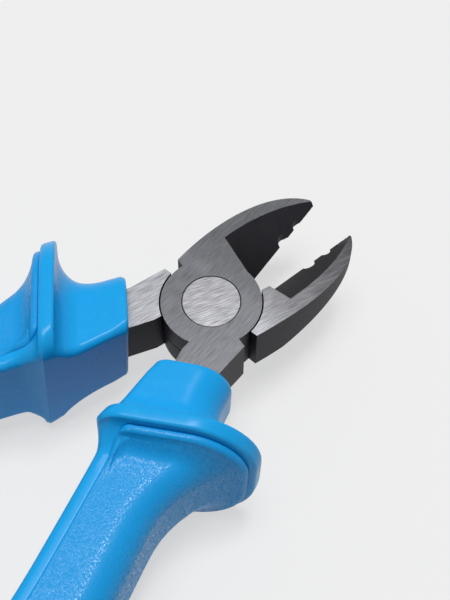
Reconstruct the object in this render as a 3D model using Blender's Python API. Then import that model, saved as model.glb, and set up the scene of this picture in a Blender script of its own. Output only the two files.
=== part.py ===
"""Side cutters with wire stripping notches, held partly open.

Two forged steel levers cross in a lap joint and turn on one flush rivet. Each lever's tang is
pushed into a grip of two plastics: a smooth hard core with neck, finger guard, spine and end cap,
and a textured cover moulded round the back of it.

The shapes are drawn with the tool closed: X across, Y along towards the jaw tips, Z up, the pivot
axis on Z and the head's back face on Z = 0. Two empties on the pivot then open the levers.
"""

import math

import bmesh
import bpy
from mathutils import Matrix, Vector

MM = 0.001
FIT_GAP = 0.3 * MM
PAST = 2.0 * MM

# Head and rivet
HEAD_THICKNESS = 10.8 * MM
DISC_RADIUS = 9.5 * MM
RIVET_HEAD_DIAMETER = 11.0 * MM
RIVET_SHANK_DIAMETER = 7.0 * MM
RIVET_HEAD_DEPTH = 2.4 * MM
RIVET_LAND = 0.8 * MM
RIVET_CLEARANCE = 0.15 * MM

# Jaws, measured from the pivot with the tool closed
HALF_OPENING = math.radians(8.6)
SHOULDER = 1.3 * MM
JAW_STOP_ANGLE = math.radians(15.4)
TIP_REACH = 31.9 * MM
TIP_WIDTH = 1.0 * MM
EDGE_OFFSET = 0.15 * MM
EDGE_HEIGHT = 1.0 * MM
EDGE_ROOT = 1.0 * MM
EDGE_LAND = 0.15 * MM
UNDER_BEVEL = 0.8 * MM
RAMP_ANGLE = math.radians(14.0)
GRIND_START = 5.0 * MM
GRIND_DROP = 3.0 * MM
GRIND_CURVE = 1.5
OUTER_RISE = 0.46
OUTER_BELLY = (0.70, 0.88)
RIM_RISE = (0.89, 0.34)
RIM_BELLY = (0.61, 0.71)
RIM_WIDTH = 3.4 * MM
POCKET_DEPTH = 3.35 * MM
ROOT_ANGLE = math.radians(22.0)
CROTCH = 3.0 * MM
NOTCH_LARGE_AT = 22.6 * MM
NOTCH_LARGE_RADIUS = 1.3 * MM
NOTCH_SMALL_AT = 26.7 * MM
NOTCH_SMALL_RADIUS = 0.95 * MM

# Tangs
TANG_STOP_ANGLE = math.radians(17.9)
TANG_ROOT_WIDTH = 8.4 * MM
TANG_TAIL_WIDTH = 6.2 * MM
TANG_BEND = 11.0 * MM
TANG_LENGTH = 72.0 * MM

# Grips: t runs along the handle from the pivot, n outwards across it
HANDLE_SPLAY = math.radians(14.7)
HANDLE_OFFSET = 2.9 * MM
HANDLE_WIDTH = 13.9 * MM
HANDLE_HEIGHT = 19.6 * MM
HANDLE_END = 125.5 * MM
SWELL = 0.5 * MM
SWELL_AT = 84.0 * MM
BOW_START = 58.0 * MM
BOW_RADIUS = 205.0 * MM
NECK_START = 15.6 * MM
NECK_OFFSET = 3.9 * MM
NECK_WIDTH = 13.8 * MM
NECK_HEIGHT = 19.4 * MM
NECK_SLANT = math.radians(13.5)
NECK_FILLET = 9.5 * MM
GUARD_AT = 29.6 * MM
GUARD_OFFSET = 7.3 * MM
GUARD_WIDTH = 29.1 * MM
GUARD_HEIGHT = 31.6 * MM
GUARD_SLANT = math.radians(14.8)
GUARD_RAKE = math.radians(4.0)
GUARD_CROWN = 3.0 * MM
GUARD_ROUND = 0.9 * MM
LIP_INSET = 1.8 * MM
LIP_WIDTH = 1.5 * MM
FLARE_LENGTH = 13.5 * MM
SPINE_WIDTH = 2.4 * MM
COVER_WALL = 2.0 * MM
END_CAP = 8.0 * MM
CAP_BEAD = 0.2 * MM
CAP_FLAT = 0.3
INNER_CORNER = 2.0 * MM
NECK_CORNER = 7.0 * MM
HANDLE_CORNER = 5.6 * MM
GUARD_INNER_CORNER = 4.5 * MM
GUARD_OUTER_CORNER = 12.8 * MM
FRONT_ROUND = 0.7 * MM
ROUND_LIMIT = 0.97

# Facet counts
ROUND_STEPS = 64
ARC_STEPS = 14
CORNER_STEPS = 5
FLARE_STEPS = 5
BODY_STEPS = 7
END_STEPS = 4
SHARP_ANGLE = math.radians(35.0)

# Colours, linear
BLACKENED_STEEL = (0.06, 0.06, 0.065)
GROUND_STEEL = (0.36, 0.36, 0.37)
SMOOTH_BLUE = (0.013, 0.27, 0.72)
TEXTURED_BLUE = (0.010, 0.22, 0.62)

MID_PLANE = HEAD_THICKNESS / 2
HEAD_HALF_WIDTH = DISC_RADIUS + SHOULDER
RECESS_RADIUS = DISC_RADIUS + FIT_GAP
POCKET_Y = DISC_RADIUS + POCKET_DEPTH
POCKET_X = HEAD_HALF_WIDTH - RIM_WIDTH
COVER_RECESS = COVER_WALL + FIT_GAP


# Blender helpers

def clear_scene():
    for item in list(bpy.data.objects):
        bpy.data.objects.remove(item, do_unlink=True)


def make_material(name, colour, metallic, roughness):
    material = bpy.data.materials.new(name)
    material.use_nodes = True
    shader = material.node_tree.nodes["Principled BSDF"]
    shader.inputs["Base Color"].default_value = (*colour, 1.0)
    shader.inputs["Metallic"].default_value = metallic
    shader.inputs["Roughness"].default_value = roughness
    return material


def link_mesh(name, mesh_data):
    bmesh.ops.recalc_face_normals(mesh_data, faces=mesh_data.faces)
    mesh = bpy.data.meshes.new(name)
    mesh_data.to_mesh(mesh)
    mesh_data.free()
    item = bpy.data.objects.new(name, mesh)
    bpy.context.scene.collection.objects.link(item)
    return item


def loft(name, rings):
    """A closed solid through rings with the same number of points, capped at both ends."""
    mesh_data = bmesh.new()
    loops = [[mesh_data.verts.new(point) for point in ring] for ring in rings]
    count = len(loops[0])
    for first, second in zip(loops, loops[1:]):
        for i in range(count):
            j = (i + 1) % count
            mesh_data.faces.new((first[i], first[j], second[j], second[i]))
    mesh_data.faces.new(loops[0][::-1])
    mesh_data.faces.new(loops[-1])
    return link_mesh(name, mesh_data)


def prism(name, outline, bottom, top):
    """An outline in X and Y, extruded from one height to another."""
    rings = [[Vector((x, y, z)) for x, y in outline] for z in (bottom, top)]
    return loft(name, rings)


def side_prism(name, profile, half_width):
    """A profile in Y and Z, extruded across X."""
    rings = [[Vector((x, y, z)) for y, z in profile] for x in (-half_width, half_width)]
    return loft(name, rings)


def circle(radius, x=0.0, y=0.0):
    turn = 2 * math.pi / ROUND_STEPS
    return [(x + radius * math.cos(i * turn), y + radius * math.sin(i * turn)) for i in range(ROUND_STEPS)]


def turned(name, profile):
    """A solid of revolution on the Z axis, from a profile of radius and height."""
    rings = [[Vector((x, y, z)) for x, y in circle(radius)] for radius, z in profile]
    return loft(name, rings)


def combine(target, tool, operation):
    """Joins or cuts one solid by another, which is then removed."""
    modifier = target.modifiers.new(operation.lower(), "BOOLEAN")
    modifier.operation = operation
    modifier.solver = "EXACT"
    modifier.object = tool
    bpy.context.view_layer.update()
    graph = bpy.context.evaluated_depsgraph_get()
    shape = bpy.data.meshes.new_from_object(target.evaluated_get(graph))
    target.modifiers.clear()
    target.data = shape
    bpy.data.objects.remove(tool, do_unlink=True)


def finish(item, name, parent, material):
    item.name = name
    item.data.name = name
    item.data.materials.clear()
    item.data.materials.append(material)
    item.data.shade_smooth()
    item.data.set_sharp_from_angle(angle=SHARP_ANGLE)
    item.parent = parent


def mirrored(points, side):
    return [(side * x, y) for x, y in points]


def flipped(rings, side):
    return [[Vector((side * point.x, point.y, point.z)) for point in ring] for ring in rings]


# Lever outlines, for a jaw on +X and a tang on -X

def bezier(first, second, third, fourth, steps):
    points = []
    for i in range(steps + 1):
        u = i / steps
        v = 1 - u
        weights = (v**3, 3 * u * v**2, 3 * u**2 * v, u**3)
        pairs = zip(weights, (first, second, third, fourth))
        points.append(sum((Vector(point) * weight for weight, point in pairs), Vector((0.0, 0.0))))
    return points


def ramp(y):
    """Height of the jaw's underside, which climbs towards the tip from the edge of the disc."""
    return (y - DISC_RADIUS) * math.tan(RAMP_ANGLE)


def grind(y):
    """Height of the jaw's top face, ground in a slow curve that falls towards the tip."""
    share = max(0.0, (y - GRIND_START) / (TIP_REACH - GRIND_START))
    return HEAD_THICKNESS - GRIND_DROP * share**GRIND_CURVE


def outer_curve():
    tip = (EDGE_OFFSET + TIP_WIDTH, TIP_REACH)
    start = (HEAD_HALF_WIDTH, HEAD_HALF_WIDTH * math.tan(JAW_STOP_ANGLE) + SHOULDER)
    length = TIP_REACH - start[1]
    reach = start[0] - tip[0]
    return bezier(
        start,
        (start[0], start[1] + OUTER_RISE * length),
        (tip[0] + OUTER_BELLY[0] * reach, start[1] + OUTER_BELLY[1] * length),
        tip,
        ARC_STEPS,
    )


def rim_curve():
    tip = (EDGE_OFFSET + TIP_WIDTH / 2, TIP_REACH)
    start = (POCKET_X, POCKET_Y)
    length = tip[1] - start[1]
    reach = start[0] - tip[0]
    return bezier(
        start,
        (tip[0] + RIM_RISE[0] * reach, start[1] + RIM_RISE[1] * length),
        (tip[0] + RIM_BELLY[0] * reach, start[1] + RIM_BELLY[1] * length),
        tip,
        ARC_STEPS,
    )


def root_line(x):
    return POCKET_Y - (POCKET_X - x) * math.tan(ROOT_ANGLE)


def jaw_outline():
    """The jaw from its stop face round the outside to the tip, and back along the cutting edge."""
    stop = Vector((math.cos(JAW_STOP_ANGLE), math.sin(JAW_STOP_ANGLE)))
    back_inner = stop * (RIVET_HEAD_DIAMETER / 2 + RIVET_LAND)
    back_outer = stop * (HEAD_HALF_WIDTH / stop.x)
    edge_end = (EDGE_OFFSET, TIP_REACH)
    edge_start = (EDGE_OFFSET, root_line(EDGE_OFFSET) + EDGE_ROOT)
    return [back_inner, back_outer, *outer_curve(), edge_end, edge_start, (CROTCH, DISC_RADIUS - PAST)]


def plate_outline():
    """The disc that laps over the other lever, with a web that fills it out to the bevel's root."""
    first = math.acos(EDGE_OFFSET / DISC_RADIUS)
    last = 2 * math.pi + math.acos(POCKET_X / DISC_RADIUS)
    points = []
    for i in range(ROUND_STEPS + 1):
        angle = first + (last - first) * i / ROUND_STEPS
        points.append((DISC_RADIUS * math.cos(angle), DISC_RADIUS * math.sin(angle)))
    return [*points, (POCKET_X, POCKET_Y), (EDGE_OFFSET, root_line(EDGE_OFFSET))]


def tang_outline(grow=0.0):
    """The tang from its stop shoulder to its tail; grow widens it to the socket in the grip."""
    stop = Vector((math.cos(TANG_STOP_ANGLE), -math.sin(TANG_STOP_ANGLE)))
    outer_start = stop * (HEAD_HALF_WIDTH / stop.x)
    inner_start = stop * (RIVET_HEAD_DIAMETER / 2 + RIVET_LAND)
    root_inner = HEAD_HALF_WIDTH - TANG_ROOT_WIDTH
    tail_middle = HANDLE_OFFSET - COVER_RECESS / 2
    neck_t = GUARD_AT + FLARE_LENGTH / 2
    tail = TANG_TAIL_WIDTH / 2 + grow
    end = TANG_LENGTH + grow
    points = [
        inner_start,
        outer_start,
        Vector((HEAD_HALF_WIDTH + grow, -TANG_BEND)),
        on_handle(neck_t, tail_middle + tail),
        on_handle(end, tail_middle + tail),
        on_handle(end, tail_middle - tail),
        on_handle(neck_t, tail_middle - tail),
        Vector((root_inner - grow, -TANG_BEND)),
        Vector((root_inner - grow, -DISC_RADIUS + SHOULDER)),
    ]
    return [(-point.x, point.y) for point in points]


def edge_height(y):
    """Height of the cutting edge, which follows the ramped underside."""
    return ramp(y) + EDGE_HEIGHT


def bevel_rings():
    """Sections of all that lies above the bevel, from its root wall to past the tip.

    The slanted side of each section runs from just above the rim down through the cutting edge.
    """
    beyond = EDGE_OFFSET - PAST
    roof = HEAD_THICKNESS + 2 * PAST
    root = root_line(EDGE_OFFSET)
    rings = []
    for i, rim in enumerate(rim_curve()):
        edge_y = root + (TIP_REACH - root) * i / ARC_STEPS
        edge = Vector((EDGE_OFFSET, edge_y, edge_height(edge_y) + EDGE_LAND / 2))
        slope = Vector((rim.x, rim.y, grind(rim.y))) - edge
        high = edge + slope * (1 + FIT_GAP / slope.z)
        foot = edge + slope * ((beyond - edge.x) / slope.x)
        rings.append([high, foot, Vector((foot.x, foot.y, roof)), Vector((high.x, high.y, roof))])
    past_tip = Vector((0.0, PAST, 0.0))
    rings.append([point + past_tip for point in rings[-1]])
    return rings


def under_rings():
    """Sections of what the small bevel under the cutting edge takes away."""
    beyond = EDGE_OFFSET - PAST
    slope = EDGE_HEIGHT / UNDER_BEVEL
    floor = -2 * PAST
    rings = []
    for edge_y in (DISC_RADIUS, TIP_REACH + PAST):
        height = edge_height(edge_y) - EDGE_LAND / 2
        low = Vector((EDGE_OFFSET + (height - floor) / slope, edge_y, floor))
        high = Vector((beyond, edge_y, height + PAST * slope))
        rings.append([low, high, Vector((beyond, edge_y, floor))])
    return rings


def make_lever(side, disc_on_top):
    """One lever; side is +1 for a jaw on +X. Its disc lies in one half of the thickness.

    All of it stands proud of both faces by different amounts until it is ground to thickness.
    """
    lap = FIT_GAP / 2 if disc_on_top else -FIT_GAP / 2
    relief = FIT_GAP if disc_on_top else -FIT_GAP
    roof = HEAD_THICKNESS + 2 * PAST
    floor = -2 * PAST
    own_face = HEAD_THICKNESS + PAST / 2 if disc_on_top else -PAST / 2
    other_face = floor if disc_on_top else roof
    own = sorted((MID_PLANE + lap, own_face))
    other = sorted((MID_PLANE + lap + relief, other_face))

    lever = prism("jaw", mirrored(jaw_outline(), side), -PAST, HEAD_THICKNESS + PAST)
    combine(lever, loft("bevel", flipped(bevel_rings(), side)), "DIFFERENCE")
    combine(lever, loft("under_bevel", flipped(under_rings(), side)), "DIFFERENCE")
    if not disc_on_top:
        low = DISC_RADIUS / 2
        crotch = [(-PAST, low), (CROTCH, low), (CROTCH, POCKET_Y), (-PAST, POCKET_Y)]
        combine(lever, prism("crotch", mirrored(crotch, side), MID_PLANE, roof), "DIFFERENCE")
    tang = prism("tang", mirrored(tang_outline(), side), -PAST / 4, HEAD_THICKNESS + PAST / 4)
    combine(lever, tang, "UNION")
    combine(lever, prism("recess", circle(RECESS_RADIUS), *other), "DIFFERENCE")
    combine(lever, prism("plate", mirrored(plate_outline(), side), *own), "UNION")
    combine(lever, top_cutter(), "DIFFERENCE")
    combine(lever, bottom_cutter(), "DIFFERENCE")
    combine(lever, turned("bore", rivet_profile(RIVET_CLEARANCE, PAST)), "DIFFERENCE")
    for at, radius in ((NOTCH_LARGE_AT, NOTCH_LARGE_RADIUS), (NOTCH_SMALL_AT, NOTCH_SMALL_RADIUS)):
        notch = prism("notch", circle(radius, 0.0, at), -PAST, HEAD_THICKNESS + PAST)
        combine(lever, notch, "DIFFERENCE")
    return lever


def top_cutter():
    """Everything above the head's front face and the ground top of the jaws."""
    far = TIP_REACH + PAST
    behind = -TANG_LENGTH - PAST
    roof = HEAD_THICKNESS + 3 * PAST
    curve = []
    for i in range(ARC_STEPS + 1):
        y = GRIND_START + (far - GRIND_START) * i / ARC_STEPS
        curve.append((y, grind(y)))
    profile = [(behind, HEAD_THICKNESS), *curve, (far, roof), (behind, roof)]
    return side_prism("top", profile, TANG_LENGTH)


def bottom_cutter():
    """Everything below the head's back face and the ramped underside of the jaws."""
    far = TIP_REACH + PAST
    behind = -TANG_LENGTH - PAST
    floor = -3 * PAST
    profile = [(behind, 0.0), (DISC_RADIUS, 0.0), (far, ramp(far)), (far, floor), (behind, floor)]
    return side_prism("bottom", profile, TANG_LENGTH)


def rivet_profile(clearance, past):
    """The rivet from its lower to its upper face: land, cone, shank, cone, land."""
    head = RIVET_HEAD_DIAMETER / 2 + clearance
    shank = RIVET_SHANK_DIAMETER / 2 + clearance
    land = RIVET_LAND
    cone = RIVET_HEAD_DEPTH
    top = HEAD_THICKNESS
    return [
        (head, -past),
        (head, land),
        (shank, cone),
        (shank, top - cone),
        (head, top - land),
        (head, top + past),
    ]


# Grips, for a handle on +X

def handle_frame(t):
    """A point on the handle's axis, with the directions along and across it."""
    turned_by = max(0.0, t - BOW_START) / BOW_RADIUS
    straight = min(t, BOW_START)
    along = Vector((math.sin(HANDLE_SPLAY), -math.cos(HANDLE_SPLAY)))
    across = Vector((math.cos(HANDLE_SPLAY), math.sin(HANDLE_SPLAY)))
    point = along * straight
    point += along * (BOW_RADIUS * math.sin(turned_by))
    point -= across * (BOW_RADIUS * (1 - math.cos(turned_by)))
    turn = Matrix.Rotation(-turned_by, 2)
    return point, turn @ along, turn @ across


def on_handle(t, n):
    point, _, across = handle_frame(t)
    return point + across * n


def place(section, station):
    """Points of a section, across from its inner side and up from the mid plane, set on the handle."""
    t, middle, half_width, _, slant, rake, _, _ = station
    point, along, across = handle_frame(t)
    width_axis = across * math.cos(slant) - along * math.sin(slant)
    start = point + across * middle - width_axis * half_width
    back = along * math.tan(rake)
    return [Vector((*(start + width_axis * a - back * z), MID_PLANE + z)) for a, z in section]


def corner(a, z, radius, first, last):
    """An arc round a centre, from one angle to another in degrees."""
    points = []
    for i in range(CORNER_STEPS + 1):
        angle = math.radians(first + (last - first) * i / CORNER_STEPS)
        points.append((a + radius * math.cos(angle), z + radius * math.sin(angle)))
    return points


def full_section(station):
    """A rounded rectangle with its own radius on the inner and on the outer corners."""
    _, _, half_width, half_height, _, _, inner, outer = station
    width = 2 * half_width
    inner = min(inner, ROUND_LIMIT * half_height, ROUND_LIMIT * half_width)
    outer = min(outer, ROUND_LIMIT * half_height, ROUND_LIMIT * half_width)
    return [
        *corner(inner, inner - half_height, inner, 180, 270),
        *corner(width - outer, outer - half_height, outer, 270, 360),
        *corner(width - outer, half_height - outer, outer, 0, 90),
        *corner(inner, half_height - inner, inner, 90, 180),
    ]


def core_section(station):
    """The spine at full height, and behind it the part that the cover wraps."""
    _, _, half_width, half_height, _, _, inner, outer = station
    width = 2 * half_width - COVER_RECESS
    height = half_height - COVER_RECESS
    rounding = max(outer - COVER_RECESS, FIT_GAP)
    return [
        *corner(inner, inner - half_height, inner, 180, 270),
        (SPINE_WIDTH, -half_height),
        (SPINE_WIDTH, -height),
        *corner(width - rounding, rounding - height, rounding, 270, 360),
        *corner(width - rounding, height - rounding, rounding, 0, 90),
        (SPINE_WIDTH, height),
        (SPINE_WIDTH, half_height),
        *corner(inner, half_height - inner, inner, 90, 180),
    ]


def cover_section(station):
    """A channel of constant wall, open towards the spine."""
    _, _, half_width, half_height, _, _, _, outer = station
    width = 2 * half_width
    lip = SPINE_WIDTH + FIT_GAP
    inside = outer - COVER_WALL
    return [
        (lip, -half_height),
        *corner(width - outer, outer - half_height, outer, 270, 360),
        *corner(width - outer, half_height - outer, outer, 0, 90),
        (lip, half_height),
        (lip, half_height - COVER_WALL),
        *corner(width - outer, half_height - outer, inside, 90, 0),
        *corner(width - outer, outer - half_height, inside, 360, 270),
        (lip, COVER_WALL - half_height),
    ]


def mix(first, second, share):
    return tuple(a + (b - a) * share for a, b in zip(first, second))


def neck_shape():
    """Middle, half width, half height, slant, rake, inner corner and outer corner of the neck."""
    half_width = NECK_WIDTH / 2
    half_height = NECK_HEIGHT / 2
    return (NECK_OFFSET, half_width, half_height, NECK_SLANT, GUARD_RAKE, INNER_CORNER, NECK_CORNER)


def guard_shape(inset=0.0):
    return (
        GUARD_OFFSET,
        GUARD_WIDTH / 2 - inset,
        GUARD_HEIGHT / 2 - inset,
        GUARD_SLANT,
        GUARD_RAKE,
        GUARD_INNER_CORNER - inset,
        GUARD_OUTER_CORNER - inset,
    )


def handle_shape(t):
    """The handle's section along its length, with a slow swell for the palm."""
    reach = SWELL_AT - BOW_START
    swell = SWELL * math.exp(-(((t - SWELL_AT) / reach) ** 2))
    half_width = HANDLE_WIDTH / 2 + swell
    half_height = HANDLE_HEIGHT / 2 + swell
    return (HANDLE_OFFSET, half_width, half_height, 0.0, 0.0, INNER_CORNER, HANDLE_CORNER)


def body_stations():
    """Stations from behind the guard to the end cap: the lip, the flare, then the bowed handle."""
    lip = GUARD_AT + GUARD_CROWN / 2
    flare_end = lip + LIP_WIDTH + FLARE_LENGTH
    stations = []
    for i in range(FLARE_STEPS + 1):
        share = 1 - i / FLARE_STEPS
        t = flare_end - share * FLARE_LENGTH
        shape = list(mix(handle_shape(t), guard_shape(LIP_INSET), share**2))
        shape[3] = GUARD_SLANT * share
        shape[4] = GUARD_RAKE * share
        shape[5] = INNER_CORNER
        stations.append((t, *shape))
    stations.insert(0, (lip, *stations[0][1:]))
    last = HANDLE_END - END_CAP
    for i in range(1, BODY_STEPS + 1):
        t = flare_end + (last - flare_end) * i / BODY_STEPS
        stations.append((t, *handle_shape(t)))
    return stations


def beyond_body(last):
    """The end of the spine, drawn in inside the end cap."""
    t, middle, half_width, half_height, *rest = last
    return (t + END_CAP / 4, middle, half_width - COVER_WALL, half_height - COVER_WALL, *rest)


def head_stations():
    """Stations of the neck, its flare and the crest of the guard."""
    crown = GUARD_CROWN / 2
    neck = neck_shape()
    front = (neck[0], neck[1] - FRONT_ROUND, neck[2] - FRONT_ROUND, *neck[3:])
    stations = [(NECK_START, *front), (NECK_START + FRONT_ROUND, *neck)]
    for i in range(FLARE_STEPS + 1):
        share = i / FLARE_STEPS
        t = GUARD_AT - crown - (1 - share) * NECK_FILLET
        stations.append((t, *mix(neck, guard_shape(GUARD_ROUND), share**2)))
    stations.append((GUARD_AT - crown / 2, *guard_shape(GUARD_ROUND / 4)))
    stations.append((GUARD_AT, *guard_shape()))
    stations.append((GUARD_AT + crown / 2, *guard_shape(GUARD_ROUND / 4)))
    stations.append((GUARD_AT + crown, *guard_shape(GUARD_ROUND)))
    return stations


def cap_stations(start):
    """Stations of the end cap, which rounds off to a small flat."""
    stations = []
    for i in range(END_STEPS + 1):
        t = start + END_CAP * i / END_STEPS
        share = math.sqrt(CAP_FLAT**2 + (1 - CAP_FLAT**2) * (1 - (i / END_STEPS) ** 2))
        middle, half_width, half_height, *rest = handle_shape(t)
        stations.append((t, middle, (half_width + CAP_BEAD) * share, (half_height + CAP_BEAD) * share, *rest))
    return stations


def make_core():
    """Neck and guard, spine with its recess, and end cap, joined into one moulding."""
    core = loft("core", [place(full_section(station), station) for station in head_stations()])

    body = body_stations()
    first = body[0]
    last = body[-1]
    buried = (first[0] - GUARD_CROWN / 2, *first[1:])
    clear = (first[0] + FIT_GAP, *first[1:])
    spine = [buried, clear, *body[1:], beyond_body(last)]
    combine(core, loft("spine", [place(core_section(station), station) for station in spine]), "UNION")

    cap = [place(full_section(station), station) for station in cap_stations(last[0])]
    combine(core, loft("cap", cap), "UNION")

    socket = mirrored(tang_outline(FIT_GAP), -1)
    combine(core, prism("socket", socket, -FIT_GAP, HEAD_THICKNESS + FIT_GAP), "DIFFERENCE")
    return core


def make_cover():
    """The textured cover, from a gap behind the guard to a gap before the end cap."""
    body = body_stations()
    first = body[0]
    last = body[-1]
    body[0] = (first[0] + FIT_GAP, *first[1:])
    body[-1] = (last[0] - FIT_GAP, *last[1:])
    return loft("cover", [place(cover_section(station), station) for station in body])


def make_pivot(name, angle):
    pivot = bpy.data.objects.new(name, None)
    pivot.empty_display_size = DISC_RADIUS
    pivot.rotation_euler = (0.0, 0.0, angle)
    bpy.context.scene.collection.objects.link(pivot)
    return pivot


def mirror_across(item):
    item.data.transform(Matrix.Scale(-1, 4, (1, 0, 0)))
    item.data.flip_normals()


clear_scene()
blackened = make_material("blackened_steel", BLACKENED_STEEL, metallic=0.9, roughness=0.45)
ground = make_material("ground_rivet_steel", GROUND_STEEL, metallic=1.0, roughness=0.35)
smooth_plastic = make_material("smooth_blue_plastic", SMOOTH_BLUE, metallic=0.0, roughness=0.35)
textured_plastic = make_material("textured_blue_plastic", TEXTURED_BLUE, metallic=0.0, roughness=0.6)

# The rear lever's jaw is on +X and its disc underneath; the front lever is the other way round.
rear_pivot = make_pivot("rear_pivot", -HALF_OPENING)
front_pivot = make_pivot("front_pivot", HALF_OPENING)

finish(make_lever(1, False), "rear_lever", rear_pivot, blackened)
finish(make_lever(-1, True), "front_lever", front_pivot, blackened)
finish(turned("rivet", rivet_profile(0.0, 0.0)), "pivot_rivet", rear_pivot, ground)

front_core = make_core()
front_cover = make_cover()
rear_core = make_core()
rear_cover = make_cover()
mirror_across(rear_core)
mirror_across(rear_cover)
finish(front_core, "front_grip_core", front_pivot, smooth_plastic)
finish(front_cover, "front_grip_cover", front_pivot, textured_plastic)
finish(rear_core, "rear_grip_core", rear_pivot, smooth_plastic)
finish(rear_cover, "rear_grip_cover", rear_pivot, textured_plastic)
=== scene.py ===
"""Side cutters with wire stripping notches, lying partly open on a pale floor.

Two forged steel levers turn on one flush rivet, and each tang carries a grip of two blue plastics.
Shapes are drawn with the tool closed: X across, Y towards the jaw tips, Z up from the head's back
face, and the pivot on Z. Each piece is then turned open about the pivot.
"""

import math
from collections import namedtuple

import bmesh
import bpy
from mathutils import Matrix, Vector


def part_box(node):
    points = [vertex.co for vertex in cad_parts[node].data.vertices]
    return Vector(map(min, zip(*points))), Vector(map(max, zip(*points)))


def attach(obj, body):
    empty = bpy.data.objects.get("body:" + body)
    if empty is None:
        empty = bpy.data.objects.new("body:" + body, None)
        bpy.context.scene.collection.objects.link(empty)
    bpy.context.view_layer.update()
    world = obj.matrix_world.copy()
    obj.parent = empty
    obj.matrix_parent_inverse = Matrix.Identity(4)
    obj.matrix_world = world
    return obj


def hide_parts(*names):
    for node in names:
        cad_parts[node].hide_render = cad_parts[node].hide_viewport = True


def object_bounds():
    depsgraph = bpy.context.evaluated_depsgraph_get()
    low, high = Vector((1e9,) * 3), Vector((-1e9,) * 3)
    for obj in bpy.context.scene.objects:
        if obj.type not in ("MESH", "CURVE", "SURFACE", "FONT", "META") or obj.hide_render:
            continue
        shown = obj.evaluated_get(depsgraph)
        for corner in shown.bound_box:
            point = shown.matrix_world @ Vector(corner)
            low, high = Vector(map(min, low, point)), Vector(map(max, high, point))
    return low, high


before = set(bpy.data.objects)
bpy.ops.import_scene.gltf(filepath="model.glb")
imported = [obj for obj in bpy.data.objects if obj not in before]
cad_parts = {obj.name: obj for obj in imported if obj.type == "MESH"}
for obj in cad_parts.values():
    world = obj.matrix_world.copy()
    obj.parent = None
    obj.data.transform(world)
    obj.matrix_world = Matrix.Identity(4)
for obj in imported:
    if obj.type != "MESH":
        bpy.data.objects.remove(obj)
cad_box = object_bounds()


# The two levers
# Forged tool steel, each one piece: a jaw, a disc that laps over the other lever, and a tang.
# They are blackened in hot oxide, then belt ground on both faces, which bares satin steel there.

MM = 0.001
HALF_OPENING = math.radians(8.6)
FIT_GAP = 0.3 * MM
PAST = 2.0 * MM
rivet_low, rivet_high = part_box("pivot_rivet")
HEAD_THICKNESS = rivet_high.z - rivet_low.z
MID_PLANE = HEAD_THICKNESS / 2
RIVET_HEAD_RADIUS = 5.5 * MM
RIVET_SHANK_RADIUS = 3.5 * MM
RIVET_HEAD_DEPTH = 2.4 * MM
RIVET_LAND = 0.8 * MM
RIVET_CLEARANCE = 0.1 * MM
DISC_RADIUS = 9.5 * MM
SHOULDER = 1.3 * MM
HEAD_HALF_WIDTH = DISC_RADIUS + SHOULDER

JAW_STOP_ANGLE = math.radians(15.4)
TIP_REACH = 31.9 * MM
TIP_WIDTH = 1.0 * MM
EDGE_OFFSET = 0.15 * MM
EDGE_HEIGHT = 1.0 * MM
EDGE_ROOT = 1.0 * MM
EDGE_LAND = 0.15 * MM
UNDER_BEVEL = 0.8 * MM
RAMP_ANGLE = math.radians(14.0)
GRIND_START = 5.0 * MM
GRIND_DROP = 3.0 * MM
GRIND_CURVE = 1.5
OUTER_RISE = 0.46
OUTER_BELLY = (0.70, 0.88)
RIM_RISE = (0.89, 0.34)
RIM_BELLY = (0.61, 0.71)
RIM_WIDTH = 3.4 * MM
POCKET_DEPTH = 3.35 * MM
POCKET_X = HEAD_HALF_WIDTH - RIM_WIDTH
POCKET_Y = DISC_RADIUS + POCKET_DEPTH
ROOT_ANGLE = math.radians(22.0)
WEB_END = -1.0 * MM
CROTCH = 3.0 * MM
NOTCHES = ((22.6 * MM, 1.3 * MM), (26.7 * MM, 0.95 * MM))

TANG_STOP_ANGLE = math.radians(17.9)
TANG_ROOT_WIDTH = 8.4 * MM
TANG_TAIL_WIDTH = 6.2 * MM
TANG_BEND = 11.0 * MM
TANG_LENGTH = 72.0 * MM
TANG_OFFSET = 1.75 * MM
TANG_STRAIGHT = 36.35 * MM
HANDLE_SPLAY = math.radians(14.7)
BOW_START = 58.0 * MM
BOW_RADIUS = 205.0 * MM

ROUND_STEPS = 120
CURVE_STEPS = 32
SHARP_ANGLE = math.radians(35.0)


def linear(code):
    """A linear colour from an sRGB hex code."""
    channels = [int(code[i:i + 2], 16) / 255 for i in (1, 3, 5)]
    return (*[c / 12.92 if c <= 0.04045 else ((c + 0.055) / 1.055) ** 2.4 for c in channels], 1.0)


def add(tree, kind, inputs=None, **settings):
    """Adds a shader node; an input takes a value or the socket that feeds it."""
    node = tree.nodes.new(kind)
    for name, value in settings.items():
        setattr(node, name, value)
    for name, value in (inputs or {}).items():
        if isinstance(value, bpy.types.NodeSocket):
            tree.links.new(value, node.inputs[name])
        else:
            node.inputs[name].default_value = value
    return node


def new_material(name):
    material = bpy.data.materials.new(name)
    material.use_nodes = True
    tree = material.node_tree
    return material, tree, tree.nodes["Principled BSDF"]


def link_mesh(name, mesh_data):
    bmesh.ops.recalc_face_normals(mesh_data, faces=mesh_data.faces)
    mesh = bpy.data.meshes.new(name)
    mesh_data.to_mesh(mesh)
    mesh_data.free()
    item = bpy.data.objects.new(name, mesh)
    bpy.context.scene.collection.objects.link(item)
    return item


def loft(name, rings):
    """A closed solid through rings with the same number of points, capped at both ends."""
    mesh_data = bmesh.new()
    loops = [[mesh_data.verts.new(point) for point in ring] for ring in rings]
    count = len(loops[0])
    for first, second in zip(loops, loops[1:]):
        for i in range(count):
            j = (i + 1) % count
            mesh_data.faces.new((first[i], first[j], second[j], second[i]))
    mesh_data.faces.new(loops[0][::-1])
    mesh_data.faces.new(loops[-1])
    return link_mesh(name, mesh_data)


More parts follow.
